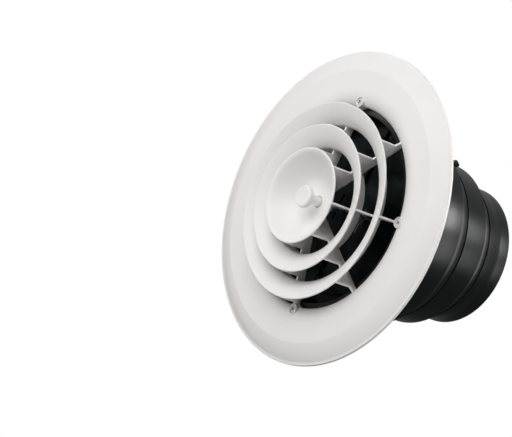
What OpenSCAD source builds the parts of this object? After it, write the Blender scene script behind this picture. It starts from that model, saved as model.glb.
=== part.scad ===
// Round ceiling air diffuser: louvred face, stepped duct collar and a push-pull butterfly damper.
// +Z runs up into the duct, z = 0 is the ceiling that the flange rests against, and the face hangs below.
// A "drop" is a depth below the ceiling and a "rise" is a height above it.

/* [Face flange] */
// Outer diameter of the face flange
flange_d = 335; // [325:1:345]
// Diameter of the throat opening
throat_d = 216; // [214:0.5:217]
// Diameter of the crease where the flange hangs lowest
crest_d = 291; // [280:1:295]
// Drop of the crease
crest_drop = 10; // [9:0.5:12]
// Wall thickness of the flange
flange_wall = 2.4; // [2:0.1:2.6]
// Drop of the square outer edge
edge_drop = 3; // [2.5:0.1:3.5]

/* [Louvers] */
// Lip diameter of the outer louver ring
outer_lip_d = 206.6; // [204:0.2:208]
// Drop of the outer ring's lip
outer_lip_drop = 29.5; // [27:0.5:31]
// Lip diameter of the inner louver ring
inner_lip_d = 154; // [152:0.2:156]
// Drop of the inner ring's lip
inner_lip_drop = 38.4; // [36:0.2:40]
// Wall thickness of both rings
ring_wall = 1.8; // [1.6:0.1:2.2]
// Radius of the long flare towards the lip
flare_r = 58.5; // [55:0.5:62]
// Radius of the short bend between the neck and the flare
bend_r = 6; // [5:0.5:7]

/* [Centre dish] */
// Lip diameter of the dish
dish_d = 98.6; // [97:0.2:100]
// Drop of the dish's lip
dish_lip_drop = 46.7; // [45:0.1:48]
// Drop of the dish's floor
dish_floor_drop = 20.5; // [20:0.1:21.5]
// Slope of the dish's side, in degrees from level
dish_slope = 44; // [42:1:46]
// Wall thickness of the dish
dish_wall = 2; // [1.8:0.1:2.2]
// Diameter of the hole that the knob's stem slides in
stem_hole_d = 12; // [11.6:0.1:12.4]

/* [Ribs] */
// Number of radial ribs
rib_count = 8; // [8]
// Thickness of a rib
rib_t = 2; // [1.6:0.1:2.4]
// Drop of the ribs' straight rear edge, carried in to the axis
rib_rear_drop = 19.6; // [19:0.1:20]
// Fall of the rear edge for each millimetre of radius
rib_rear_slope = 0.17; // [0.16:0.01:0.18]

/* [Duct collar] */
// Outer diameter at the rear of the widest band, for a nominal 8 inch duct
band1_d = 207; // [205:0.5:208]
// Outer diameter at the rear of the middle band, for a nominal 7 inch duct
band2_d = 177.4; // [175:0.2:179]
// Outer diameter at the rear of the narrow band, for a nominal 6 inch duct
band3_d = 150.8; // [149:0.2:152]
// Rise of the widest band's rear edge
band1_rise = 85; // [80:1:90]
// Rise of the middle band's rear edge
band2_rise = 137; // [130:1:140]
// Rise of the collar's open rear end
collar_rise = 189; // [180:1:195]
// Wall thickness of the collar
collar_wall = 2; // [1.8:0.1:2.2]

/* [Damper] */
// Turn of the damper's hinge line about the axis
damper_angle = 13; // [0:1:20]
// Radius of the round edge of the blades
blade_r = 99; // [97:0.5:99.5]
// Gap between the straight edges of the closed blades
blade_gap = 7; // [7:0.2:8]
// Thickness of a blade
blade_t = 1.8; // [1.5:0.1:2]
// Rise of the closed blades' lower face
blade_rise = 25; // [24:0.5:26]
// Distance from the axis to each hinge line
hinge_x = 9.5; // [9:0.1:10]
// Travel of the knob between closed and open
knob_travel = 15.6; // [14:0.1:15.8]
// Swing of a blade over that travel, in degrees
blade_swing = 75; // [70:1:78]
// Diameter of the hinge and crank pins
pin_d = 3; // [2.8:0.1:3.2]

/* [Knob] */
// Diameter of the knob's head
knob_d = 23.2; // [22:0.2:24]
// Drop of the knob's face with the damper closed
knob_drop = 42.6; // [41:0.1:44]
// Thickness of the knob's head
knob_t = 6; // [5:0.5:7]
// Diameter of the knob's stem
stem_d = 10.4; // [10:0.1:10.8]

/* [Hidden] */
$fn = 96;

// Flange
flange_r = flange_d / 2;
throat_r = throat_d / 2;
mouth_w = 18;
mouth_h = 6;
plateau_drop = crest_drop - 0.6;
crease_slope = 10;
edge_round = 1;
edge_land = 2;
spigot_drop = 0.3;

// Face screws and the bosses they sit in
screw_count = 4;
screw_r = 111.8;
boss_r = 5.7;
boss_drop = 9.3;
boss_floor_drop = 7.4;
boss_bowl_r = 4.5;
screw_head_r = 3.9;
screw_head_h = 1.5;
screw_shank_r = 1.9;
screw_tip_rise = 14;
screw_fit = 0.05;

// Louver rings: both have the same section
neck_slope = 42;
lip_slope = 20;
ring_reach = bend_r * (1 - sin(neck_slope)) + flare_r * (sin(neck_slope) - sin(lip_slope));
ring_drop = bend_r * cos(neck_slope) + flare_r * (cos(lip_slope) - cos(neck_slope));
outer_neck_r = outer_lip_d / 2 - ring_reach;
inner_neck_r = inner_lip_d / 2 - ring_reach;
outer_rear_drop = 6.2;
inner_rear_drop = 10.6;
arc_steps = 12;

// Dish
dish_r = dish_d / 2;
floor_bend_r = 20;
lip_bend_r = 14;
dish_lip_slope = 22;
sleeve_wall = 2.5;
sleeve_drop = 12;

// Ribs: the front edge steps out from each lip to the next wall
rib_overhang = 0.6;
step_drops = [22.2, 16, 10];
step_rise = 0.8;
rib_foot_w = 4.5;
rib_foot_drop = 6.6;

// Collar
mount_flange_r = 119;
mount_flange_t = 2.4;
mouth_lip_r = 105.4;
mouth_lip_drop = 1;
band_draft = 1.2;
band3_draft = 2.6;
band_land = 15;
mouth_bore_r = 101.8;
mouth_lip_rise = 3;
cove1_rise = 107;
cove2_rise = 154;
lug_r = 4.6;
lug_rise = 15;
cove_sag = 0.118;
score_w = 1.8;
score_depth = 1.4;
tab_count = 2;
tab_angle = 128;
tab_w = 6;
tab_len = 12;
tab_h = 4;
tab_rise = 77;
tab_nose_r = 2.6;
window_len = 3.2;

// Damper linkage
crank_r = knob_travel / (2 * sin(blade_swing / 2));
crank_x = hinge_x + crank_r * cos(blade_swing / 2);
crank_rise = blade_rise + 2.5;
hinge_rise = crank_rise + knob_travel / 2;
pin_r = pin_d / 2;
pin_fit = 0.02;
run_fit = 0.06;
barrel_r = 4;
bead_r = 86;
bead_w = 2.8;
bead_h = 0.8;
leg_y = 66.5;
leg_t = 3.5;
ear_gap = 0.6;
ear_t = 4;
crank_half_len = 17.4;
crank_slot_w = 5.5;
crank_slot_half = 14.5;
crank_lug_t = 3.5;
relief_in = 7.4;
relief_out = 7;
relief_half = 4.2;

// Bridge
bridge_w = 18;
bar_rise = 53;
bar_t = 3.5;
foot_rise = 30;
foot_t = 3;
foot_w = 8.6;
pad_w = 14;
pad_y = 86;
foot_end_y = 98;
ledge_y = 90;
ledge_h = 11;
bridge_screw_y = 94;
bridge_screw_r = 1.75;
bridge_head_r = 3.4;
bridge_head_h = 2;

// Rod, yoke, bushing and knob
rod_r = 2.5;
rod_low_r = 3;
shoulder_rise = crank_rise;
rod_top_rise = 66.5;
rod_bottom_drop = 15.5;
hub_r = 6.5;
hub_top_rise = 33;
yoke_half_t = 3;
yoke_slot_h = 2 * pin_r + 1;
yoke_wall = 1.6;
yoke_end_x = hinge_x + crank_r + pin_r + 0.4 + yoke_wall;
arm_end_x = 21.5;
nut_h = 3.5;
nut_flats = 8;
bush_r = 4.5;
bush_flange_r = 7;
bush_flange_t = 1.5;
bush_top_rise = 64;
bush_bore_r = rod_r + 0.05;
ring_section_r = 0.9;
ring_rise = 61;
clip_r = 4.5;
clip_t = 1;
stem_top_drop = 2;

// Points along a circular arc about [x, y], from angle a to angle b
function arc(x, y, r, a, b, steps = arc_steps) =
    [for (i = [0 : steps]) [x + r * cos(a + (b - a) * i / steps), y + r * sin(a + (b - a) * i / steps)]];

// Points along an elliptical arc about [x, y]
function oval(x, y, rx, ry, a, b, steps = arc_steps) =
    [for (i = [0 : steps]) [x + rx * cos(a + (b - a) * i / steps), y + ry * sin(a + (b - a) * i / steps)]];

// Points in the opposite order
function backwards(points) = [for (i = [len(points) - 1 : -1 : 0]) points[i]];

// Flange surface from the throat out to the flat land at the edge, moved in by inset: a bell mouth, a
// flat crest and a rounded slope that starts at a soft crease
function flange_curve(inset) = let (
        run = flange_r - edge_round - edge_land - crest_d / 2,
        fall = crest_drop - edge_drop,
        half_turn = atan(fall / run) - crease_slope,
        r = norm([run, fall]) / (2 * sin(half_turn)),
        x = crest_d / 2 - r * sin(crease_slope),
        y = r * cos(crease_slope) - crest_drop,
        start = crease_slope - 90
    ) concat(
        oval(throat_r + mouth_w, mouth_h - plateau_drop, mouth_w - inset, mouth_h - inset, 180, 270),
        arc(x, y, r - inset, start, start + 2 * half_turn)
    );

// Louver surface from the neck out to the lip, moved back by inset
function ring_curve(neck_r, lip_drop, inset) = let (
        bend_x = neck_r + bend_r,
        bend_y = ring_drop - lip_drop,
        turn = 270 - neck_slope,
        flare_x = bend_x - (flare_r - bend_r) * cos(turn),
        flare_y = bend_y - (flare_r - bend_r) * sin(turn)
    ) concat(
        arc(bend_x, bend_y, bend_r - inset, 180, turn, 6),
        arc(flare_x, flare_y, flare_r - inset, turn, 270 - lip_slope)
    );

// Dish surface from the floor out to the lip, moved back by inset
function dish_curve(inset) = let (
        lip_x = dish_r + lip_bend_r * sin(dish_lip_slope),
        lip_y = lip_bend_r * cos(dish_lip_slope) - dish_lip_drop,
        side_h = dish_lip_drop - dish_floor_drop - floor_bend_r * (1 - cos(dish_slope))
            - lip_bend_r * (cos(dish_lip_slope) - cos(dish_slope)),
        side_x = lip_x - lip_bend_r * sin(dish_slope) - side_h / tan(dish_slope),
        floor_x = side_x - floor_bend_r * sin(dish_slope),
        floor_y = -dish_floor_drop - floor_bend_r
    ) concat(
        arc(floor_x, floor_y, floor_bend_r + inset, 90, 90 - dish_slope),
        arc(lip_x, lip_y, lip_bend_r - inset, 270 - dish_slope, 270 - dish_lip_slope, 6)
    );

// A wall of the given thickness between two parallel curves, with a rounded end
function rounded_wall(front, back, t, end_angle) = let (
        tip = (front[len(front) - 1] + back[len(back) - 1]) / 2
    ) concat(front, arc(tip[0], tip[1], t / 2, end_angle, end_angle + 180, 6), backwards(back));

// Height of the ribs' rear edge at a radius
function rib_rear(r) = rib_rear_slope * r - rib_rear_drop;

// Copies its children in a ring about the axis
module ring_of(count, start = 0) {
    for (i = [0 : count - 1]) rotate(start + 360 * i / count) children();
}

// Copies its children on both sides of the hinge lines' centre plane
module both_ends() {
    children();
    mirror([0, 1, 0]) children();
}

// Extrudes a section drawn in x and z along y, from y0 to y0 + t
module slab(y0, t) {
    translate([0, y0 + t, 0]) rotate([90, 0, 0]) linear_extrude(t) children();
}

// A round bar along y through [x, y0, z]
module bar_y(x, y0, z, r, len) {
    translate([x, y0, z]) rotate([-90, 0, 0]) cylinder(h = len, r = r);
}

// A cylinder between two heights
module post(r, z0, z1) {
    translate([0, 0, z0]) cylinder(h = z1 - z0, r = r);
}

// A box centred across x, between two y and two z
module block(w, y0, y1, z0, z1) {
    translate([-w / 2, y0, z0]) cube([w, y1 - y0, z1 - z0]);
}

module flange_shell() {
    back = flange_curve(flange_wall);
    rotate_extrude() polygon(concat(
        [[throat_r, -spigot_drop]],
        flange_curve(0),
        arc(flange_r - edge_round, edge_round - edge_drop, edge_round, -90, 0, 4),
        [[flange_r, 0], [flange_r - flange_wall + 0.4, 0]],
        backwards(back),
        [[throat_r + flange_wall, -spigot_drop]]
    ));
}

// Bell-mouthed flange with four screw bosses that bulge into the throat
module face_flange() {
    color("white") difference() {
        union() {
            flange_shell();
            ring_of(screw_count) translate([screw_r, 0, 0]) post(boss_r, -boss_drop, 0);
        }
        ring_of(screw_count) translate([screw_r, 0, 0]) {
            post(boss_bowl_r, -boss_drop - 1, -boss_floor_drop);
            post(screw_shank_r + screw_fit, -boss_drop, 1);
        }
    }
}

// Trumpet-shaped ring: a short neck and a long flare with a thin rounded lip
module louver_ring(neck_r, lip_drop, rear_drop) {
    front = concat([[neck_r, -rear_drop]], ring_curve(neck_r, lip_drop, 0));
    back = concat([[neck_r + ring_wall, -rear_drop]], ring_curve(neck_r, lip_drop, ring_wall));
    rotate_extrude() polygon(rounded_wall(front, back, ring_wall, 270 - lip_slope));
}

module outer_louver_ring() {
    color("white") louver_ring(outer_neck_r, outer_lip_drop, outer_rear_drop);
}

module inner_louver_ring() {
    color("white") louver_ring(inner_neck_r, inner_lip_drop, inner_rear_drop);
}

// Bowl with a guide sleeve for the knob's stem
module centre_dish() {
    hole_r = stem_hole_d / 2;
    front = concat([[hole_r, -dish_floor_drop]], dish_curve(0));
    back = concat(
        [[hole_r, -sleeve_drop], [hole_r + sleeve_wall, -sleeve_drop],
            [hole_r + sleeve_wall, dish_wall - dish_floor_drop]],
        dish_curve(dish_wall)
    );
    color("white") rotate_extrude() polygon(rounded_wall(front, back, dish_wall, 270 - dish_lip_slope));
}

// Outline of a rib: a straight rear edge, and a front edge that follows each wall out to its lip,
// drops straight back beyond the lip and steps out to the next wall
module rib_outline() {
    dish_edge = dish_r + rib_overhang + 1;
    inner_edge = inner_lip_d / 2 + rib_overhang + 1;
    outer_edge = outer_lip_d / 2 + rib_overhang + 1;
    inner_mid_r = inner_neck_r + ring_wall / 2;
    outer_mid_r = outer_neck_r + ring_wall / 2;
    start_r = stem_hole_d / 2 + sleeve_wall / 2;
    throat_mid_r = throat_r + flange_wall / 2;
    dish_mid = dish_curve(dish_wall / 2);
    inner_mid = ring_curve(inner_neck_r, inner_lip_drop, ring_wall / 2);
    outer_mid = ring_curve(outer_neck_r, outer_lip_drop, ring_wall / 2);
    polygon(concat(
        [[start_r, rib_rear(start_r)], [start_r, dish_wall / 2 - dish_floor_drop]],
        dish_mid,
        [[dish_edge, dish_mid[len(dish_mid) - 1][1]], [dish_edge, -step_drops[0]],
            [inner_mid_r, step_rise - step_drops[0]]],
        inner_mid,
        [[inner_edge, inner_mid[len(inner_mid) - 1][1]], [inner_edge, -step_drops[1]],
            [outer_mid_r, step_rise - step_drops[1]]],
        outer_mid,
        [[outer_edge, outer_mid[len(outer_mid) - 1][1]], [outer_edge, -step_drops[2]],
            [throat_r + rib_foot_w, -rib_foot_drop], [throat_mid_r, -mouth_h / 2],
            [throat_mid_r, rib_rear(throat_mid_r)]]
    ));
}

// One radial rib, cut to meet the dish, the rings and the flange face to face
module rib(index) {
    color("white") rotate(360 * index / rib_count) difference() {
        slab(-rib_t / 2, rib_t) rib_outline();
        centre_dish();
        inner_louver_ring();
        outer_louver_ring();
        flange_shell();
        ring_of(screw_count, -360 * index / rib_count) translate([screw_r, 0, 0]) post(boss_r, -boss_drop, 0);
    }
}

// Cross-recessed screws that hold the face to the collar
module face_screws() {
    slot_l = 4.6;
    slot_w = 1.1;
    slot_h = 0.9;
    head_drop = boss_floor_drop + screw_head_h;
    color("gainsboro") ring_of(screw_count) translate([screw_r, 0, 0]) difference() {
        union() {
            post(screw_head_r, -head_drop, -boss_floor_drop);
            post(screw_shank_r, -boss_floor_drop, screw_tip_rise);
        }
        for (a = [45, 135]) rotate(a) block(slot_w, -slot_l / 2, slot_l / 2, -head_drop - 1, slot_h - head_drop);
    }
}

// Points from p to q along a curve that sags inwards by a fixed share of its length
function cove(p, q) = let (run = q - p) [
    for (i = [0 : arc_steps]) let (t = i / arc_steps)
        p + run * t + 4 * cove_sag * t * (1 - t) * [-run[1], run[0]]
];

// Rolled groove at the foot of a cove, where the collar can be cut for a smaller duct
function score(r, z) = [[r - score_depth, z], [r - score_depth, z + score_w], [r, z + score_w]];

// Section of the collar's wall: mouth lip, hidden mounting flange and three stepped bands, each
// slightly tapered and ending in a straight land that a duct seats on
module collar_section() {
    r1 = band1_d / 2;
    r2 = band2_d / 2;
    r3 = band3_d / 2;
    outside = concat(
        [[r1 + band_draft, mount_flange_t], [r1, band1_rise - band_land]],
        cove([r1, band1_rise], [r2 + band_draft, cove1_rise]),
        score(r2 + band_draft, cove1_rise),
        [[r2, band2_rise - band_land]],
        cove([r2, band2_rise], [r3 + band3_draft, cove2_rise]),
        score(r3 + band3_draft, cove2_rise),
        [[r3, collar_rise - band_land], [r3, collar_rise]]
    );
    inside = [for (p = outside) [p[0] - collar_wall, max(p[1], 2 * mouth_lip_rise)]];
    polygon(concat(
        [[mouth_bore_r, -mouth_lip_drop], [mouth_lip_r, -mouth_lip_drop], [mouth_lip_r, 0],
            [mount_flange_r, 0], [mount_flange_r, mount_flange_t]],
        outside, backwards(inside), [[mouth_bore_r, mouth_lip_rise]]
    ));
}

// Ramped tab with a round nose that grips a duct pushed over the band
module duct_tab() {
    r = band1_d / 2;
    nose_rise = tab_rise + tab_len - tab_nose_r;
    slab(-tab_w / 2, tab_w) polygon(concat(
        [[r - 1, tab_rise], [r + 0.3, tab_rise]],
        arc(r + tab_h - tab_nose_r, nose_rise, tab_nose_r, -20, 180)
    ));
}

// Stepped black collar with screw lugs outside and ledges for the bridge inside
module duct_collar() {
    r1 = band1_d / 2;
    web_w = 4;
    color("dimgray") difference() {
        union() {
            rotate_extrude() collar_section();
            ring_of(screw_count) {
                translate([screw_r, 0, 0]) post(lug_r, 0, lug_rise);
                translate([r1, -web_w / 2, 1]) cube([screw_r - r1, web_w, lug_rise - 1]);
            }
            ring_of(tab_count, tab_angle) duct_tab();
            rotate(damper_angle) both_ends() intersection() {
                block(pad_w, ledge_y, r1, foot_rise + foot_t, foot_rise + foot_t + ledge_h);
                post(r1 - 0.4, 0, band1_rise);
            }
        }
        ring_of(screw_count) translate([screw_r, 0, 0]) post(screw_shank_r + screw_fit, -1, lug_rise + 1);
        ring_of(tab_count, tab_angle)
            translate([r1 - 3 * collar_wall, -tab_w / 2, tab_rise - 1 - window_len])
                cube([6 * collar_wall, tab_w, window_len]);
        rotate(damper_angle) both_ends() translate([0, bridge_screw_y, 0])
            post(bridge_screw_r + screw_fit, foot_rise, foot_rise + foot_t + ledge_h + 1);
    }
}

// Arch that carries the hinge pins and guides the rod
module damper_bridge() {
    leg_w = 2 * (hinge_x + barrel_r + 0.5);
    leg_end = leg_y + leg_t;
    bar_top = bar_rise + bar_t;
    color("dimgray") rotate(damper_angle) difference() {
        union() {
            block(bridge_w, -leg_end, leg_end, bar_rise, bar_top);
            both_ends() {
                block(leg_w, leg_y, leg_end, foot_rise, bar_top);
                block(foot_w, leg_y, foot_end_y, foot_rise, foot_rise + foot_t);
                block(pad_w, pad_y, foot_end_y, foot_rise, foot_rise + foot_t);
            }
        }
        post(bush_r + pin_fit, bar_rise - 1, bar_top + 1);
        both_ends() {
            translate([0, bridge_screw_y, 0]) post(bridge_screw_r + screw_fit, foot_rise - 1, bar_rise);
            for (side = [-1, 1]) bar_y(side * hinge_x, leg_y - 1, hinge_rise, pin_r + pin_fit, leg_t + 2);
        }
    }
}

// Screws that hold the bridge's feet to the ledges
module bridge_screws() {
    color("darkslategray") rotate(damper_angle) both_ends() translate([0, bridge_screw_y, 0]) {
        post(bridge_head_r, foot_rise - bridge_head_h, foot_rise);
        post(bridge_screw_r, foot_rise, foot_rise + foot_t + ledge_h);
    }
}

// Four short headed pins that the blades swing on
module hinge_pins() {
    head_h = 1;
    pin_len = leg_t + ear_gap + ear_t + 1;
    color("darkslategray") rotate(damper_angle) both_ends() for (side = [-1, 1]) {
        bar_y(side * hinge_x, leg_y, hinge_rise, pin_r, pin_len);
        bar_y(side * hinge_x, leg_y - head_h, hinge_rise, pin_r + 1, head_h);
    }
}

// Flanged sleeve in the bridge, grooved for the friction ring
module rod_bushing() {
    bar_top = bar_rise + bar_t;
    groove_r = rod_r + 2 * ring_section_r + 0.1;
    groove_half = ring_section_r + 0.1;
    sleeve_r = groove_r + 0.9;
    color("ivory") rotate_extrude() polygon([
        [bush_bore_r, bar_rise], [bush_r, bar_rise], [bush_r, bar_top], [bush_flange_r, bar_top],
        [bush_flange_r, bar_top + bush_flange_t], [sleeve_r, bar_top + bush_flange_t],
        [sleeve_r, bush_top_rise], [bush_bore_r, bush_top_rise], [bush_bore_r, ring_rise + groove_half],
        [groove_r, ring_rise + groove_half], [groove_r, ring_rise - groove_half],
        [bush_bore_r, ring_rise - groove_half]
    ]);
}

// Rubber ring whose grip holds the rod where it is set
module friction_ring() {
    color("black") translate([0, 0, ring_rise]) rotate_extrude()
        translate([rod_r + pin_fit + ring_section_r, 0]) circle(r = ring_section_r, $fn = 32);
}

// Low stiffening bead on the lower face of a blade, near its round edge
module blade_bead() {
    foot_half = bead_w / 2;
    crown_half = foot_half - bead_h;
    rotate_extrude() polygon([
        [bead_r - foot_half, blade_rise], [bead_r - crown_half, blade_rise - bead_h],
        [bead_r + crown_half, blade_rise - bead_h], [bead_r + foot_half, blade_rise],
        [bead_r + foot_half, blade_rise + 0.2], [bead_r - foot_half, blade_rise + 0.2]
    ]);
}

// Half-round blade with a bead, hinge ears and a cranked slot for the yoke
module damper_blade() {
    blade_top = blade_rise + blade_t;
    lug_half_w = pin_r + 2;
    ear_y = leg_y + leg_t + ear_gap;
    ear_foot = 5.5;
    difference() {
        union() {
            intersection() {
                union() {
                    post(blade_r, blade_rise, blade_top);
                    blade_bead();
                }
                translate([blade_gap / 2, -blade_r, blade_rise - 1]) cube([blade_r, 2 * blade_r, blade_t + 2]);
            }
            both_ends() {
                translate([crank_x, 0, 0]) block(2 * lug_half_w, crank_slot_half,
                    crank_slot_half + crank_lug_t, blade_rise, crank_rise + lug_half_w);
                slab(ear_y, ear_t) union() {
                    translate([hinge_x, hinge_rise]) circle(r = barrel_r);
                    polygon([
                        [hinge_x - barrel_r, blade_top - 0.5], [hinge_x + ear_foot, blade_top - 0.5],
                        [hinge_x + barrel_r, hinge_rise], [hinge_x - barrel_r, hinge_rise]
                    ]);
                }
            }
        }
        translate([crank_x, 0, 0])
            block(crank_slot_w, -crank_slot_half, crank_slot_half, blade_rise - 1, blade_top + 1);
        translate([crank_x - relief_in, -relief_half, blade_rise - 1])
            cube([relief_in + relief_out, 2 * relief_half, blade_t + 2]);
        both_ends() bar_y(hinge_x, ear_y - 1, hinge_rise, pin_r + run_fit, ear_t + 2);
        bar_y(crank_x, -blade_r / 2, crank_rise, pin_r + pin_fit, blade_r);
    }
}

module crank_pin() {
    bar_y(crank_x, -crank_half_len, crank_rise, pin_r, 2 * crank_half_len);
}

module damper_blade_a() {
    color("dimgray") rotate(damper_angle) damper_blade();
}

module damper_blade_b() {
    color("dimgray") rotate(damper_angle + 180) damper_blade();
}

module crank_pin_a() {
    color("darkslategray") rotate(damper_angle) crank_pin();
}

module crank_pin_b() {
    color("darkslategray") rotate(damper_angle + 180) crank_pin();
}

// Crossbar whose two slots carry the crank pins
module yoke() {
    lobe_h = yoke_slot_h + 2 * yoke_wall;
    lobe_x = crank_x - pin_r - 0.4 - yoke_wall;
    slot_in = crank_x - pin_r - 0.4 + yoke_slot_h / 2;
    slot_out = yoke_end_x - yoke_wall - yoke_slot_h / 2;
    arm_low = crank_rise + yoke_slot_h / 2;
    color("dimgray") rotate(damper_angle) difference() {
        union() {
            post(hub_r, shoulder_rise, hub_top_rise);
            slab(-yoke_half_t, 2 * yoke_half_t) union() {
                translate([-arm_end_x, arm_low]) square([2 * arm_end_x, hub_top_rise - arm_low]);
                for (side = [0, 1]) mirror([side, 0])
                    translate([lobe_x, crank_rise - lobe_h / 2]) square([yoke_end_x - lobe_x, lobe_h]);
            }
        }
        slab(-hub_r, 2 * hub_r) for (side = [0, 1]) mirror([side, 0]) {
            translate([slot_in, crank_rise]) circle(r = yoke_slot_h / 2);
            translate([slot_out, crank_rise]) circle(r = yoke_slot_h / 2);
            translate([slot_in, crank_rise - yoke_slot_h / 2]) square([slot_out - slot_in, yoke_slot_h]);
        }
        post(rod_r + pin_fit, shoulder_rise - 1, hub_top_rise + 1);
    }
}

// Steel rod from the knob to the bushing, with a shoulder under the yoke
module damper_rod() {
    color("silver") {
        post(rod_low_r, -rod_bottom_drop, shoulder_rise);
        post(rod_r, shoulder_rise, rod_top_rise);
    }
}

// Hexagon nut that clamps the yoke on the rod's shoulder
module yoke_nut() {
    color("silver") difference() {
        translate([0, 0, hub_top_rise]) cylinder(h = nut_h, d = nut_flats / cos(30), $fn = 6);
        post(rod_r + pin_fit, hub_top_rise - 1, hub_top_rise + nut_h + 1);
    }
}

// Clip at the rod's end that stops the knob from pulling out
module stop_clip() {
    color("silver") difference() {
        post(clip_r, bush_top_rise + 0.1, bush_top_rise + 0.1 + clip_t);
        post(rod_r + pin_fit, bush_top_rise - 1, rod_top_rise + 1);
    }
}

// Smooth mushroom knob with a slightly hollow face, pressed on the rod
module knob() {
    head_r = knob_d / 2;
    stem_r = stem_d / 2;
    round_r = 1.5;
    hollow = 0.5;
    neck_round = 1;
    back_drop = knob_drop - knob_t;
    bore_r = rod_low_r + pin_fit;
    color("white") rotate_extrude() polygon(concat(
        [[0, hollow - knob_drop]],
        [for (i = [1 : 6]) [(head_r - round_r) * i / 6, hollow * (1 - pow(i / 6, 2)) - knob_drop]],
        arc(head_r - round_r, round_r - knob_drop, round_r, -75, 0, 5),
        [[head_r, neck_round - back_drop - 2 * neck_round]],
        arc(head_r - neck_round, -back_drop - neck_round, neck_round, 15, 90, 5),
        [[stem_r, -back_drop], [stem_r, -stem_top_drop], [bore_r, -stem_top_drop],
            [bore_r, -rod_bottom_drop], [0, -rod_bottom_drop]]
    ));
}

face_flange();
outer_louver_ring();
inner_louver_ring();
centre_dish();
rib(0);  // rib_1
rib(1);  // rib_2
rib(2);  // rib_3
rib(3);  // rib_4
rib(4);  // rib_5
rib(5);  // rib_6
rib(6);  // rib_7
rib(7);  // rib_8
face_screws();
duct_collar();
damper_bridge();
bridge_screws();
hinge_pins();
rod_bushing();
friction_ring();
damper_blade_a();
damper_blade_b();
crank_pin_a();
crank_pin_b();
yoke();
damper_rod();
yoke_nut();
stop_clip();
knob();
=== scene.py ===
import math

import bmesh
import bpy
from mathutils import Matrix, Vector

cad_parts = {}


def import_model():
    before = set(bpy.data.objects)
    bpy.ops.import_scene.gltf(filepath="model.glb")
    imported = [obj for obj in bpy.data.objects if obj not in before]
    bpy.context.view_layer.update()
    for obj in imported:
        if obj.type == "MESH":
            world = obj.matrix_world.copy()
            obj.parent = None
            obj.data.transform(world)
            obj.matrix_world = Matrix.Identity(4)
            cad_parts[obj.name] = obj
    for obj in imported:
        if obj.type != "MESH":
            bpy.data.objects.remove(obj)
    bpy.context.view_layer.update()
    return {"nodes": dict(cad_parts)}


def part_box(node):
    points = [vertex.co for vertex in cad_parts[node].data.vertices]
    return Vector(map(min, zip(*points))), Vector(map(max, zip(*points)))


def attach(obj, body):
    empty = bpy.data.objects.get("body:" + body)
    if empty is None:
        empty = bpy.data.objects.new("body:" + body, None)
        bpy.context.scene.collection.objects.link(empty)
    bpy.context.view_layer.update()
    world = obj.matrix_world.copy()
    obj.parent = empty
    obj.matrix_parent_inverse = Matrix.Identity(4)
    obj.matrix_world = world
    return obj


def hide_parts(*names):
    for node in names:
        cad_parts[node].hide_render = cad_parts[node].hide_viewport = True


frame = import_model()

# Lengths are in millimetres and turn into metres when a mesh is made.
# "Drop" is below the ceiling plane and "rise" is above it.
MM = 0.001
TURNS = 240
ON_AXIS = 1e-6
MERGE_GAP = 1e-4

# ---------------------------------------------------------------- sizes

FLANGE_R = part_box("face_flange")[1].x / MM
COLLAR_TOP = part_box("duct_collar")[1].z / MM
KNOB_DROP = -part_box("knob")[0].z / MM

THROAT_R = 108
CREST_R = 145.5
CREST_DROP = 10
CREASE_SLOPE = 10
PLATEAU_DROP = 9.4
EDGE_DROP = 3
EDGE_ROUND = 1
EDGE_LAND = 2
FLANGE_WALL = 2.4
MOUTH_W = 18
MOUTH_H = 6

RING_WALL = 1.8
FLARE_R = 58.5
BEND_R = 6
NECK_SLOPE = 42
LIP_SLOPE = 20
RING_REACH = (BEND_R * (1 - math.sin(math.radians(NECK_SLOPE)))
              + FLARE_R * (math.sin(math.radians(NECK_SLOPE)) - math.sin(math.radians(LIP_SLOPE))))
RING_DROP = (BEND_R * math.cos(math.radians(NECK_SLOPE))
             + FLARE_R * (math.cos(math.radians(LIP_SLOPE)) - math.cos(math.radians(NECK_SLOPE))))

# name: (lip radius, lip drop, rear drop)
RINGS = {
    "outer_louver_ring": (103.3, 29.5, 6.2),
    "inner_louver_ring": (77, 38.4, 10.6),
}

DISH_R = 49.3
DISH_LIP_DROP = 46.7
DISH_FLOOR = 20.5
DISH_WALL = 2
DISH_SLOPE = 44
DISH_LIP_SLOPE = 22
FLOOR_BEND_R = 20
LIP_BEND_R = 14
HOLE_R = 6
SLEEVE_R = 8.5
SLEEVE_DROP = 12

SCREW_RING_R = 111.8
BOSS_R = 5.7
BOSS_DROP = 9.3
BOSS_FLOOR = 7.4

RIB_COUNT = 8
RIB_STEP = math.radians(360 / RIB_COUNT)
SCREW_COUNT = 4
TAB_COUNT = 2
TAB_ANGLE = 128

DAMPER_ANGLE = math.radians(13)


# ---------------------------------------------------------------- curves

def arc(x, y, r, start, end, steps=16):
    """Points of a circular arc about (x, y), from one angle in degrees to another."""
    return oval(x, y, r, r, start, end, steps)


def oval(x, y, rx, ry, start, end, steps=16):
    """Points of an elliptical arc about (x, y)."""
    turns = [math.radians(start + (end - start) * i / steps) for i in range(steps + 1)]
    return [(x + rx * math.cos(t), y + ry * math.sin(t)) for t in turns]


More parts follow.
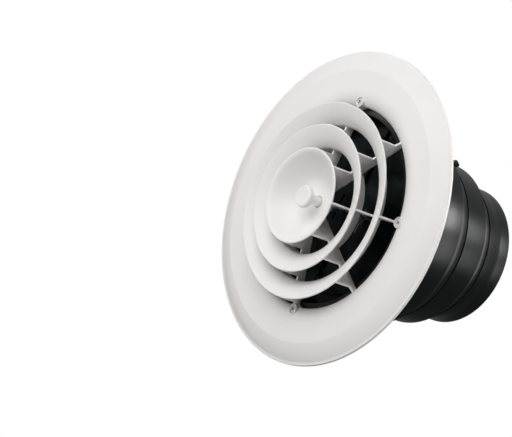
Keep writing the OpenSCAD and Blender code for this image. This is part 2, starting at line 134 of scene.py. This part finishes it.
def rounded(points, radii, steps=5):
    """The points of a line with each corner rounded by its own radius."""
    longest_cut = 0.49
    nearly_straight = math.radians(89)
    result = [points[0]]
    for before, corner, after, radius in zip(points, points[1:], points[2:], radii):
        corner_v = Vector(corner)
        to_before = Vector(before) - corner_v
        to_after = Vector(after) - corner_v
        half = to_before.angle(to_after) / 2
        if radius == 0 or half > nearly_straight:
            result.append(corner)
            continue
        cut = min(radius / math.tan(half), longest_cut * to_before.length, longest_cut * to_after.length)
        first = corner_v + to_before.normalized() * cut
        last = corner_v + to_after.normalized() * cut
        for i in range(steps + 1):
            t = i / steps
            p = first.lerp(corner_v, t).lerp(corner_v.lerp(last, t), t)
            result.append((p.x, p.y))
    result.append(points[-1])
    return result


def flange_curve(inset):
    """Face of the flange from the throat to the flat land at the rim, moved in by inset."""
    crease_round = 6
    run = FLANGE_R - EDGE_ROUND - EDGE_LAND - CREST_R
    fall = CREST_DROP - EDGE_DROP
    half_turn = math.degrees(math.atan(fall / run)) - CREASE_SLOPE
    r = math.hypot(run, fall) / (2 * math.sin(math.radians(half_turn)))
    x = CREST_R - r * math.sin(math.radians(CREASE_SLOPE))
    y = r * math.cos(math.radians(CREASE_SLOPE)) - CREST_DROP
    start = CREASE_SLOPE - 90
    mouth = oval(THROAT_R + MOUTH_W, MOUTH_H - PLATEAU_DROP, MOUTH_W - inset, MOUTH_H - inset,
                 180, 270, 28)
    slope = arc(x, y, r - inset, start, start + 2 * half_turn, 24)
    crease = rounded([mouth[-1], slope[0], slope[1]], [crease_round])
    return mouth[:-1] + crease[:-1] + slope[1:]


def ring_curve(lip_r, lip_drop, inset):
    """Face of a louver ring from its neck to its lip, moved back by inset."""
    bend_x = lip_r - RING_REACH + BEND_R
    bend_y = RING_DROP - lip_drop
    turn = 270 - NECK_SLOPE
    flare_x = bend_x - (FLARE_R - BEND_R) * math.cos(math.radians(turn))
    flare_y = bend_y - (FLARE_R - BEND_R) * math.sin(math.radians(turn))
    return (arc(bend_x, bend_y, BEND_R - inset, 180, turn, 10)
            + arc(flare_x, flare_y, FLARE_R - inset, turn, 270 - LIP_SLOPE, 20)[1:])


def dish_curve(inset):
    """Face of the dish from its floor to its lip, moved back by inset."""
    slope, lip_slope = math.radians(DISH_SLOPE), math.radians(DISH_LIP_SLOPE)
    lip_x = DISH_R + LIP_BEND_R * math.sin(lip_slope)
    lip_y = LIP_BEND_R * math.cos(lip_slope) - DISH_LIP_DROP
    side_h = (DISH_LIP_DROP - DISH_FLOOR - FLOOR_BEND_R * (1 - math.cos(slope))
              - LIP_BEND_R * (math.cos(lip_slope) - math.cos(slope)))
    side_x = lip_x - LIP_BEND_R * math.sin(slope) - side_h / math.tan(slope)
    floor_x = side_x - FLOOR_BEND_R * math.sin(slope)
    return (arc(floor_x, -DISH_FLOOR - FLOOR_BEND_R, FLOOR_BEND_R + inset, 90, 90 - DISH_SLOPE, 20)
            + arc(lip_x, lip_y, LIP_BEND_R - inset, 270 - DISH_SLOPE, 270 - DISH_LIP_SLOPE, 12))


def rounded_wall(front, back, thickness, end_angle):
    """A wall between two curves, with a rounded end."""
    x = (front[-1][0] + back[-1][0]) / 2
    y = (front[-1][1] + back[-1][1]) / 2
    end = arc(x, y, thickness / 2, end_angle, end_angle + 180, 10)
    return front + end[1:-1] + back[::-1]


# ---------------------------------------------------------------- mesh making

def piece(name, bm, material, body, nodes, sharp=35):
    """Turns a bmesh in millimetres into a piece that rides on a body and stands for CAD nodes."""
    bmesh.ops.remove_doubles(bm, verts=bm.verts, dist=MERGE_GAP)
    bmesh.ops.recalc_face_normals(bm, faces=bm.faces)
    for edge in bm.edges:
        edge.smooth = len(edge.link_faces) == 2 and edge.calc_face_angle(0) <= math.radians(sharp)
    for face in bm.faces:
        face.smooth = True
    bmesh.ops.scale(bm, vec=(MM, MM, MM), verts=bm.verts)
    mesh = bpy.data.meshes.new(name)
    bm.to_mesh(mesh)
    bm.free()
    obj = bpy.data.objects.new(name, mesh)
    bpy.context.scene.collection.objects.link(obj)
    mesh.materials.append(material)
    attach(obj, body)
    if nodes:
        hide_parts(*nodes)
    return obj


def lathe(profile, turns=TURNS):
    """A closed profile of (radius, height) points turned about the axis."""
    bm = bmesh.new()
    rings = []
    for r, z in profile:
        if r < ON_AXIS:
            rings.append([bm.verts.new((0, 0, z))])
        else:
            rings.append([bm.verts.new((r * math.cos(t), r * math.sin(t), z))
                          for t in (2 * math.pi * i / turns for i in range(turns))])
    for first, second in zip(rings, rings[1:] + rings[:1]):
        if len(first) == 1 and len(second) == 1:
            continue
        for i in range(turns):
            j = (i + 1) % turns
            corners = [first[i % len(first)], first[j % len(first)],
                       second[j % len(second)], second[i % len(second)]]
            bm.faces.new(list(dict.fromkeys(corners)))
    return bm


def rod(radius, low, high, turns=64):
    """A solid cylinder on the axis, between two heights."""
    return lathe([(0, low), (radius, low), (radius, high), (0, high)], turns)


def slab(outline, low, high):
    """A flat outline of (x, z) points given a thickness along y."""
    bm = bmesh.new()
    face = bm.faces.new([bm.verts.new((x, low, z)) for x, z in outline])
    grown = bmesh.ops.extrude_face_region(bm, geom=[face])
    far_side = [v for v in grown["geom"] if isinstance(v, bmesh.types.BMVert)]
    bmesh.ops.translate(bm, vec=(0, high - low, 0), verts=far_side)
    return bm


def box(x, y, z):
    """A box between pairs of x, y and z."""
    return slab([(x[0], z[0]), (x[1], z[0]), (x[1], z[1]), (x[0], z[1])], y[0], y[1])


def bevelled(bm, width, segments=2, angle=40):
    """Rounds every edge that turns more than an angle."""
    bmesh.ops.recalc_face_normals(bm, faces=bm.faces)
    least = math.radians(angle)
    edges = [e for e in bm.edges if len(e.link_faces) == 2 and e.calc_face_angle(0) > least]
    bmesh.ops.bevel(bm, geom=edges, offset=width, offset_type="OFFSET", segments=segments,
                    profile=0.5, affect="EDGES", clamp_overlap=True)
    return bm


def turned(bm, angle, offset=(0, 0, 0)):
    """The same bmesh shifted, then turned about the axis."""
    matrix = Matrix.Rotation(angle, 4, "Z") @ Matrix.Translation(Vector(offset))
    bmesh.ops.transform(bm, matrix=matrix, verts=bm.verts)
    return bm


def together(parts):
    """One bmesh that holds several, which are used up."""
    whole = bmesh.new()
    for part in parts:
        mesh = bpy.data.meshes.new("part")
        part.to_mesh(mesh)
        part.free()
        whole.from_mesh(mesh)
        bpy.data.meshes.remove(mesh)
    return whole


def boolean(bm, other, operation):
    """A bmesh joined with, or cut by, another."""
    objects = []
    for source in (bm, other):
        bmesh.ops.recalc_face_normals(source, faces=source.faces)
        mesh = bpy.data.meshes.new("operand")
        source.to_mesh(mesh)
        source.free()
        objects.append(bpy.data.objects.new("operand", mesh))
        bpy.context.scene.collection.objects.link(objects[-1])
    target, tool = objects
    modifier = target.modifiers.new("cut", "BOOLEAN")
    modifier.operation = operation
    modifier.solver = "MANIFOLD"
    modifier.object = tool
    result = bmesh.new()
    result.from_mesh(target.evaluated_get(bpy.context.evaluated_depsgraph_get()).to_mesh())
    for obj in objects:
        mesh = obj.data
        bpy.data.objects.remove(obj)
        bpy.data.meshes.remove(mesh)
    return result


def around(make, count, start=0, offset=(0, 0, 0)):
    """Copies of a bmesh in a ring about the axis."""
    angles = [math.radians(start + 360 * i / count) for i in range(count)]
    return together([turned(make(), angle, offset) for angle in angles])


# ---------------------------------------------------------------- materials

def shader(name, colour, roughness, specular=0.5, metallic=0.0):
    """A new material with its constant values on the shader's own sockets."""
    material = bpy.data.materials.new(name)
    material.use_nodes = True
    bsdf = material.node_tree.nodes["Principled BSDF"]
    bsdf.inputs["Base Color"].default_value = (*colour, 1)
    bsdf.inputs["Roughness"].default_value = roughness
    bsdf.inputs["Specular IOR Level"].default_value = specular
    bsdf.inputs["Metallic"].default_value = metallic
    return material, material.node_tree, bsdf


def node(tree, kind, **values):
    """A node with its settings, and its inputs by name."""
    made = tree.nodes.new(kind)
    for key, value in values.items():
        if key in made.inputs:
            made.inputs[key].default_value = value
        else:
            setattr(made, key, value)
    return made


def noise_of(tree, scale, detail=3.0, rough=0.55):
    """Noise over the object's own coordinates, with scale in cycles per metre."""
    place = node(tree, "ShaderNodeTexCoord")
    noise = node(tree, "ShaderNodeTexNoise", Scale=scale, Detail=detail, Roughness=rough)
    tree.links.new(place.outputs["Object"], noise.inputs["Vector"])
    return noise.outputs["Fac"]


def ranged(tree, value, low, high, start=0.3, end=0.7):
    """A value spread from low to high."""
    spread = node(tree, "ShaderNodeMapRange")
    for key, number in zip(("From Min", "From Max", "To Min", "To Max"), (start, end, low, high)):
        spread.inputs[key].default_value = number
    tree.links.new(value, spread.inputs["Value"])
    return spread.outputs["Result"]


def mixed(tree, factor, first, second):
    """A colour between two, by a factor."""
    mix = node(tree, "ShaderNodeMix", data_type="RGBA")
    tree.links.new(factor, mix.inputs["Factor"])
    mix.inputs["A"].default_value = (*first, 1)
    mix.inputs["B"].default_value = (*second, 1)
    return mix.outputs["Result"]


def bumps(tree, bsdf, layers):
    """Bump from several heights, each (value, distance in metres)."""
    normal = None
    for height, distance in layers:
        bump = node(tree, "ShaderNodeBump", Strength=1.0, Distance=distance)
        tree.links.new(height, bump.inputs["Height"])
        if normal:
            tree.links.new(normal, bump.inputs["Normal"])
        normal = bump.outputs["Normal"]
    tree.links.new(normal, bsdf.inputs["Normal"])


def moulded(name, light, dark, roughness, grain, grain_depth, wave_depth,
            specular=0.5, uneven=0.04, tint=(1, 1, 1)):
    """Moulded plastic or paint: faint clouding of its colour and gloss, fine grain and slight waviness."""
    material, tree, bsdf = shader(name, light, roughness, specular)
    bsdf.inputs["Specular Tint"].default_value = (*tint, 1)
    cloud = noise_of(tree, 22, 4)
    tree.links.new(mixed(tree, ranged(tree, cloud, 0, 1), dark, light), bsdf.inputs["Base Color"])
    gloss = noise_of(tree, 60, 5, 0.65)
    tree.links.new(ranged(tree, gloss, roughness - uneven, roughness + uneven), bsdf.inputs["Roughness"])
    bumps(tree, bsdf, [(noise_of(tree, 18, 1), wave_depth), (noise_of(tree, grain, 2), grain_depth)])
    return material


white_face = moulded("white_face", (0.81, 0.79, 0.781), (0.79, 0.77, 0.758), 0.46, 1400, 0.00002, 0.0002)
white_knob = moulded("white_knob", (0.83, 0.81, 0.801), (0.81, 0.79, 0.781), 0.38, 1600, 0.00001, 0.0001)
white_screw = moulded("white_screw", (0.77, 0.758, 0.745), (0.68, 0.67, 0.658), 0.36, 2400, 0.00003, 0.0001)
black_collar = moulded("black_collar", (0.0046, 0.0054, 0.0058), (0.0036, 0.0043, 0.0046),
                       0.3, 2600, 0.00002, 0.00004, 0.45, 0.01)
# The blades' black plastic is set darker and cooler than the collar's, as painted shade for the inside of
# the duct.
black_damper = moulded("black_damper", (0.0022, 0.003, 0.0033), (0.0016, 0.0023, 0.0026),
                       0.17, 2200, 0.00001, 0.0003, 0.22, 0.03, (0.75, 1, 1))
black_paint = moulded("black_paint", (0.014, 0.015, 0.016), (0.009, 0.01, 0.011),
                      0.34, 1800, 0.00003, 0.0001, 0.5, 0.06)
nylon = moulded("nylon", (0.62, 0.60, 0.53), (0.56, 0.54, 0.47), 0.42, 1500, 0.00003, 0.0001)
rubber = moulded("rubber", (0.015, 0.015, 0.015), (0.01, 0.01, 0.01), 0.7, 3000, 0.00004, 0.0001, 0.3)


def plated(name, dull, bright):
    """Plated steel: cloudy colour and gloss, with a fine grain."""
    material, tree, bsdf = shader(name, bright, 0.3, metallic=1.0)
    cloud = noise_of(tree, 300, 4, 0.6)
    tree.links.new(mixed(tree, ranged(tree, cloud, 0, 1), dull, bright), bsdf.inputs["Base Color"])
    tree.links.new(ranged(tree, cloud, 0.22, 0.42), bsdf.inputs["Roughness"])
    bumps(tree, bsdf, [(noise_of(tree, 2500, 2), 0.00002)])
    return material


zinc_steel = plated("zinc_steel", (0.48, 0.48, 0.50), (0.68, 0.68, 0.67))
# Dark steel for the black steel parts, also used as painted shade inside the screw recesses.
black_steel_and_recess_shade = plated("black_steel_and_recess_shade", (0.03, 0.03, 0.032), (0.055, 0.055, 0.06))


# ---------------------------------------------------------------- white face

def boss():
    """A screw boss with a rounded rim round its bowl."""
    rim_round = 0.5
    bowl_r = 4.5
    hole_r = 1.95
    outline = [(hole_r, 0), (hole_r, -BOSS_FLOOR), (bowl_r, -BOSS_FLOOR), (bowl_r, -BOSS_DROP),
               (BOSS_R, -BOSS_DROP), (BOSS_R, 0), (hole_r, 0)]
    return lathe(rounded(outline, [0.15, 0.3, rim_round, rim_round, 0.1])[:-1], 64)


def face_flange():
    """The flange with its mouth, rim and four screw bosses."""
    rear_drop = 0.3
    outer_round = 0.5
    inner_round = 0.4
    rim_w = 2
    boss_hole_r = 4.6
    back = flange_curve(FLANGE_WALL)
    rim = arc(FLANGE_R - EDGE_ROUND, EDGE_ROUND - EDGE_DROP, EDGE_ROUND, -90, 0, 8)
    skirt = rounded([rim[-1], (FLANGE_R, 0), (FLANGE_R - rim_w, 0), back[-1]], [0.35, 0.25])
    spigot = (arc(THROAT_R + FLANGE_WALL - outer_round, -rear_drop - outer_round, outer_round, 0, 90, 4)
              + arc(THROAT_R + inner_round, -rear_drop - inner_round, inner_round, 90, 180, 4))
    shell = lathe(flange_curve(0) + rim + skirt[1:-1] + back[::-1] + spigot)
    holes = around(lambda: rod(boss_hole_r, -20, 5), SCREW_COUNT, offset=(SCREW_RING_R, 0, 0))
    bosses = around(boss, SCREW_COUNT, offset=(SCREW_RING_R, 0, 0))
    whole = boolean(boolean(shell, holes, "DIFFERENCE"), bosses, "UNION")
    piece("flange_visual", whole, white_face, "root", ["face_flange"])


def louver_ring(name):
    """A louver ring with a rounded lip and a square neck."""
    edge_round = 0.5
    lip_r, lip_drop, rear_drop = RINGS[name]
    neck_r = lip_r - RING_REACH
    front = ring_curve(lip_r, lip_drop, 0)
    back = ring_curve(lip_r, lip_drop, RING_WALL)
    wall = rounded_wall(front, back, RING_WALL, 270 - LIP_SLOPE)
    corners = [back[0], (neck_r + RING_WALL, -rear_drop), (neck_r, -rear_drop), front[0]]
    rear = rounded(corners, [edge_round, edge_round])
    piece(name + "_visual", lathe(wall + rear[1:-1]), white_face, "root", [name])


def centre_dish():
    """The dish with the sleeve that the knob's stem runs in."""
    front = dish_curve(0)
    back = dish_curve(DISH_WALL)
    wall = rounded_wall(front, back, DISH_WALL, 270 - DISH_LIP_SLOPE)
    corners = [back[0], (SLEEVE_R, DISH_WALL - DISH_FLOOR), (SLEEVE_R, -SLEEVE_DROP),
               (HOLE_R, -SLEEVE_DROP), (HOLE_R, -DISH_FLOOR), front[0]]
    sleeve = rounded(corners, [0.8, 0.3, 0.4, 0.12])
    piece("dish_visual", lathe(wall + sleeve[1:-1]), white_face, "root", ["centre_dish"])


def rib_outline():
    """A slanted rear edge, and a front edge that follows each wall and steps out to the next."""
    overhang = 1.6
    steps = (22.2, 16, 10)
    step_rise = 0.8
    foot = (THROAT_R + 4.5, -6.6)
    rear_slope = 0.17
    rear_drop = 19.6
    start_r = HOLE_R + 1.25
    end_r = THROAT_R + FLANGE_WALL / 2
    inner_lip, inner_drop, _ = RINGS["inner_louver_ring"]
    outer_lip, outer_drop, _ = RINGS["outer_louver_ring"]
    dish = dish_curve(DISH_WALL / 2)
    inner = ring_curve(inner_lip, inner_drop, RING_WALL / 2)
    outer = ring_curve(outer_lip, outer_drop, RING_WALL / 2)

    def rear(r):
        return rear_slope * r - rear_drop

    outline = [(start_r, rear(start_r)), (start_r, dish[0][1])] + dish
    for lip_r, wall, drop in ((DISH_R, inner, steps[0]), (inner_lip, outer, steps[1])):
        out_r = lip_r + overhang
        outline += [(out_r, outline[-1][1]), (out_r, -drop), (wall[0][0], step_rise - drop)] + wall
    out_r = outer_lip + overhang
    outline += [(out_r, outline[-1][1]), (out_r, -steps[2]), foot,
                (end_r, -MOUTH_H / 2), (end_r, rear(end_r))]
    return outline


def ribs():
    """Eight ribs, every second one cut back to let a screw boss stand."""
    half = 1
    edge_round = 0.3
    boss_overlap = 0.3
    for i in range(RIB_COUNT):
        name = f"rib_{i + 1}"
        angle = RIB_STEP * i
        bm = turned(bevelled(slab(rib_outline(), -half, half), edge_round, 2, 60), angle)
        if i % 2 == 0:
            cut = turned(rod(BOSS_R - boss_overlap, -20, 5, 48), angle, (SCREW_RING_R, 0, 0))
            bm = boolean(bm, cut, "DIFFERENCE")
        piece(name + "_visual", bm, white_face, "root", [name])


def screw():
    """A pan-head screw with a cross recess whose faces take the second material: bare dark steel that also
    stands in as painted shade in the recess.
    """
    head_r = 3.9
    head_h = 1.5
    shank_r = 1.9
    shank_rise = 12.5
    tip_r = 0.6
    tip_rise = 14
    arm_l = 2.3
    arm_half = 0.62
    arm_depth = 0.5
    centre_half = 1
    depth = 1.6
    top = -BOSS_FLOOR - head_h
    dome = [(0, top), (1.4, top), (2.6, top + 0.18), (head_r, top + 0.9)]
    shank = [(head_r, -BOSS_FLOOR), (shank_r, -BOSS_FLOOR), (shank_r, shank_rise), (tip_r, tip_rise),
             (0, tip_rise)]
    body = lathe(rounded(dome + shank, [0.5, 1.2, 0.5, 0.1, 0.1, 0.2, 0.2]), 64)
    arm = [(-arm_l, top - 1), (arm_l, top - 1), (arm_l, top + arm_depth), (centre_half, top + depth),
           (-centre_half, top + depth), (-arm_l, top + arm_depth)]
    first, second = [turned(slab(arm, -arm_half, arm_half), math.radians(a)) for a in (45, 135)]
    bm = boolean(body, boolean(first, second, "UNION"), "DIFFERENCE")
    # Faces inside the cross recess take the dark second material: bare steel and painted shade.
    for face in bm.faces:
        spot = face.calc_center_median()
        if math.hypot(spot.x, spot.y) < arm_l + 0.1 and 0.3 < spot.z - top < depth + 0.05:
            face.material_index = 1
    return bm


def face_screws():
    """Four white screws, with dark bare steel in their recesses that also serves as painted shade there."""
    screws = around(screw, SCREW_COUNT, offset=(SCREW_RING_R, 0, 0))
    obj = piece("face_screws_visual", screws, white_screw, "root", ["face_screws"], 30)
    obj.data.materials.append(black_steel_and_recess_shade)


def knob():
    """A round knob with a slightly hollow face, on a stem with a blind bore for the rod."""
    head_r = 11.6
    face_r = 8.6
    hollow = 0.5
    thick = 6
    front_round = 2
    back_round = 1.2
    neck_round = 1.2
    stem_r = 5.2
    stem_drop = 2
    bore_r = 3.02
    bore_drop = 15.5
    face = [(face_r * i / 10, hollow * (1 - (i / 10) ** 2) - KNOB_DROP) for i in range(11)]
    front = arc(head_r - front_round, front_round - KNOB_DROP, front_round, -90, 0, 10)
    back = arc(head_r - back_round, thick - back_round - KNOB_DROP, back_round, 0, 90, 8)
    neck = arc(stem_r + neck_round, thick + neck_round / 2 - KNOB_DROP, neck_round, 210, 180, 4)
    stem = rounded([neck[-1], (stem_r, -stem_drop), (bore_r, -stem_drop), (bore_r, -bore_drop),
                    (0, -bore_drop)], [0.5, 0.2, 0])
    turned_knob = lathe(face + front[1:] + back + neck + stem[1:], 128)
    piece("knob_visual", turned_knob, white_knob, "knob", ["knob"])


# ---------------------------------------------------------------- black collar

def cove(start, end, share=0.118, steps=12):
    """Points from start to end along a curve that sags inwards by a share of its length."""
    run = Vector(end) - Vector(start)
    points = []
    for i in range(steps + 1):
        t = i / steps
        p = Vector(start) + run * t + Vector((-run.y, run.x)) * (4 * share * t * (1 - t))
        points.append((p.x, p.y))
    return points


def collar_shell():
    """Three tapered bands. The first two end in a sharp edge, a cove and a rolled groove."""
    wall = 2
    land = 15
    groove_depth = 1.4
    groove_w = 1.8
    groove_slant = 0.1
    root_r = 104.7
    root_rise = 6
    rear_flange_r = 119
    rear_flange_h = 2.4
    mouth_r = 101.8
    mouth_rise = 3
    lip_r = 105.4
    lip_drop = 1
    end_r = 75.4
    bands = ((103.5, 85, 89.9, 107), (88.7, 137, 78, 154))
    outside = [(root_r, rear_flange_h)]
    inside = [(root_r - wall, root_rise)]
    for edge_r, edge_z, foot_r, foot_z in bands:
        curve = cove((edge_r, edge_z), (foot_r, foot_z))
        land_end = (edge_r, edge_z - land)
        groove_r = foot_r - groove_depth
        groove = [curve[-2], (foot_r, foot_z), (groove_r, foot_z + groove_slant),
                  (groove_r, foot_z + groove_w), (foot_r, foot_z + groove_w + groove_slant),
                  (foot_r - 0.2, foot_z + 4)]
        outside += [land_end] + rounded([land_end, curve[0], curve[1]], [0.3], 3)[1:-1]
        outside += curve[1:-1]
        outside += rounded(groove, [0.3, 0.1, 0.1, 0.3])[1:-1]
        inside += [(edge_r - wall, edge_z - land)] + [(r - wall, z) for r, z in curve]
        inside += [(groove_r - wall, foot_z + 1.5), (groove_r - wall, foot_z + groove_w)]
    end = [outside[-1], (end_r, COLLAR_TOP - land), (end_r, COLLAR_TOP), (end_r - wall, COLLAR_TOP),
           (end_r - wall, COLLAR_TOP - land)]
    outside += rounded(end, [40, 0.5, 0.5])[1:]
    mouth = [(mouth_r, mouth_rise), (mouth_r, -lip_drop), (lip_r, -lip_drop), (lip_r, 0),
             (rear_flange_r, 0), (rear_flange_r, rear_flange_h), outside[0], outside[1]]
    rim = rounded(mouth, [0.4, 0.4, 0.1, 0.4, 0.4, 0.8])
    return lathe(rim[:-1] + outside[1:] + inside[::-1])


def screw_lug():
    """A round post for a face screw, with a web to the collar's wall."""
    lug_r = 4.6
    lug_h = 15
    post = lathe(rounded([(0, 0), (lug_r, 0), (lug_r, lug_h), (0, lug_h)], [0.1, 0.6]), 48)
    web = bevelled(box((-8.3, 0), (-2, 2), (1, lug_h)), 0.4)
    return boolean(post, web, "UNION")


def duct_tab():
    """A ramp with a round end, which keeps the duct on the widest band."""
    band_r = 103.5
    ramp_z = 77
    end_z = 86.4
    end_round = 2.6
    outline = ([(band_r - 1, ramp_z), (band_r + 0.3, ramp_z)]
               + arc(band_r + 1.4, end_z, end_round, -20, 180, 12))
    return bevelled(slab(outline, -3, 3), 0.4)


def ledge():
    """A block inside the collar that an end of the bridge is screwed to."""
    return bevelled(box((-7, 7), (90, 102), (33, 44)), 0.5)


def duct_collar():
    """The collar with its lugs, tabs and ledges, and the holes through them."""
    screw_hole_r = 1.95
    bridge_hole_r = 1.8
    bridge_hole_place = (0, 94, 0)
    adds = together([
        around(screw_lug, SCREW_COUNT, offset=(SCREW_RING_R, 0, 0)),
        around(duct_tab, TAB_COUNT, TAB_ANGLE),
        turned(around(ledge, 2), DAMPER_ANGLE),
    ])
    whole = boolean(collar_shell(), adds, "UNION")
    holes = together([
        around(lambda: rod(screw_hole_r, -3, 17, 32), SCREW_COUNT, offset=(SCREW_RING_R, 0, 0)),
        around(lambda: box((97.5, 109.5), (-3, 3), (72.8, 76)), TAB_COUNT, TAB_ANGLE),
        turned(around(lambda: rod(bridge_hole_r, 30, 45, 32), 2, offset=bridge_hole_place), DAMPER_ANGLE),
    ])
    pierced = boolean(whole, holes, "DIFFERENCE")
    piece("collar_visual", pierced, black_collar, "root", ["duct_collar"], 30)


# ---------------------------------------------------------------- carried-over CAD nodes

def dress(name, material, width=0.0):
    """Gives a CAD node its material and rounds its edges a little."""
    obj = frame["nodes"][name]
    obj.data.materials.clear()
    obj.data.materials.append(material)
    if width:
        bevel = obj.modifiers.new("edges", "BEVEL")
        bevel.width = width * MM
        bevel.segments = 2
        bevel.limit_method = "ANGLE"
        bevel.angle_limit = math.radians(50)


face_flange()
louver_ring("outer_louver_ring")
louver_ring("inner_louver_ring")
centre_dish()
ribs()
face_screws()
knob()
duct_collar()
for name in ("damper_blade_a", "damper_blade_b"):
    dress(name, black_damper, 0.3)
for name in ("damper_bridge", "yoke"):
    dress(name, black_paint, 0.3)
for name in ("damper_rod", "yoke_nut", "stop_clip"):
    dress(name, zinc_steel, 0.15)
for name in ("bridge_screws", "hinge_pins", "crank_pin_a", "crank_pin_b"):
    dress(name, black_steel_and_recess_shade, 0.15)
dress("rod_bushing", nylon, 0.2)
dress("friction_ring", rubber)


# ---------------------------------------------------------------- stage, lights and camera

CAMERA_AZIMUTH = 3.31
CAMERA_ELEVATION = -38.57
CAMERA_ROLL = 110.07
CAMERA_DISTANCE = 2.1295
CAMERA_LENS = 145.7
AIM = Vector((-0.0457, 0.0351, -0.0544))


def direction(azimuth, elevation):
    """Unit vector at an azimuth from +X and an elevation, in degrees."""
    a, e = math.radians(azimuth), math.radians(elevation)
    return Vector((math.cos(a) * math.cos(e), math.sin(a) * math.cos(e), math.sin(e)))


def camera():
    """Adds the camera and gives the ways that are right, up and back in its view."""
    back = direction(CAMERA_AZIMUTH, CAMERA_ELEVATION)
    level = Vector((-back.y, back.x, 0)).normalized()
    rise = back.cross(level)
    roll = math.radians(CAMERA_ROLL)
    right = level * math.cos(roll) + rise * math.sin(roll)
    up = back.cross(right)
    data = bpy.data.cameras.new("camera")
    data.lens = CAMERA_LENS
    data.sensor_width = 36
    data.clip_start = 0.05
    data.clip_end = 30
    obj = bpy.data.objects.new("camera", data)
    bpy.context.scene.collection.objects.link(obj)
    facing = Matrix((right, up, back)).transposed().to_4x4()
    obj.matrix_world = Matrix.Translation(AIM + back * CAMERA_DISTANCE) @ facing
    bpy.context.scene.camera = obj
    return right, up, back


def soft_light(name, place, size, power):
    """A square area light facing the object, placed in metres along right, up and back."""
    data = bpy.data.lights.new(name, "AREA")
    data.shape = "SQUARE"
    data.size = size
    data.energy = power
    obj = bpy.data.objects.new(name, data)
    bpy.context.scene.collection.objects.link(obj)
    spot = right * place[0] + up * place[1] + back * place[2]
    obj.location = spot
    obj.rotation_mode = "QUATERNION"
    obj.rotation_quaternion = spot.to_track_quat("Z", "Y")
    obj.visible_camera = False


def floor():
    """A pale floor far below the ceiling plane, which throws no light back on the object."""
    half = 60
    drop = 3.2
    corners = [(-half, -half, 0), (half, -half, 0), (half, half, 0), (-half, half, 0)]
    mesh = bpy.data.meshes.new("floor")
    mesh.from_pydata(corners, [], [(0, 1, 2, 3)])
    obj = bpy.data.objects.new("floor", mesh)
    obj.location = (0, 0, -drop)
    bpy.context.scene.collection.objects.link(obj)
    material, _, bsdf = shader("floor_paint", (0.8, 0.8, 0.8), 0.8)
    bsdf.inputs["Emission Color"].default_value = (1, 1, 1, 1)
    bsdf.inputs["Emission Strength"].default_value = 0.7
    mesh.materials.append(material)
    obj.visible_diffuse = False
    obj.visible_glossy = False


def world(bright_way):
    """A white surround that lights the object more from one way than from the other."""
    made = bpy.data.worlds.new("studio")
    bpy.context.scene.world = made
    made.use_nodes = True
    tree = made.node_tree
    place = node(tree, "ShaderNodeTexCoord")
    height = node(tree, "ShaderNodeVectorMath", operation="DOT_PRODUCT")
    tree.links.new(place.outputs["Generated"], height.inputs[0])
    height.inputs[1].default_value = bright_way
    lit = tree.nodes["Background"]
    tree.links.new(ranged(tree, height.outputs["Value"], 0.06, 0.4, 0, 1), lit.inputs["Strength"])
    seen = node(tree, "ShaderNodeBackground", Strength=1.0)
    for background in (lit, seen):
        background.inputs["Color"].default_value = (1, 1, 1, 1)
    path = node(tree, "ShaderNodeLightPath")
    mix = node(tree, "ShaderNodeMixShader")
    tree.links.new(path.outputs["Is Camera Ray"], mix.inputs[0])
    tree.links.new(lit.outputs[0], mix.inputs[1])
    tree.links.new(seen.outputs[0], mix.inputs[2])
    tree.links.new(mix.outputs[0], tree.nodes["World Output"].inputs["Surface"])


right, up, back = camera()
soft_light("key", (-0.45, 0.95, 1.0), 1.2, 15.8)
soft_light("left_high", (-1.3, 1.1, 0.1), 1.0, 5.5)
soft_light("left_low", (-1.4, -0.3, 0.6), 1.0, 6)
soft_light("right_low", (1.0, -0.7, 1.2), 0.9, 5)
soft_light("side_box", (1.5, 0.2, 0.28), 0.46, 13.5)
soft_light("side_low", (1.35, -0.5, 0.3), 0.5, 2.5)
soft_light("top_strip", (0.1, 1.7, 0.2), 0.9, 1.5)
soft_light("bounce", (0.3, -1.5, 0.9), 1.0, 4)
soft_light("above", (1.32, -0.3, -1.12), 0.9, 3.5)
floor()
world((up * 0.8 - back * 0.6).normalized())
bpy.context.scene.view_settings.view_transform = "Standard"
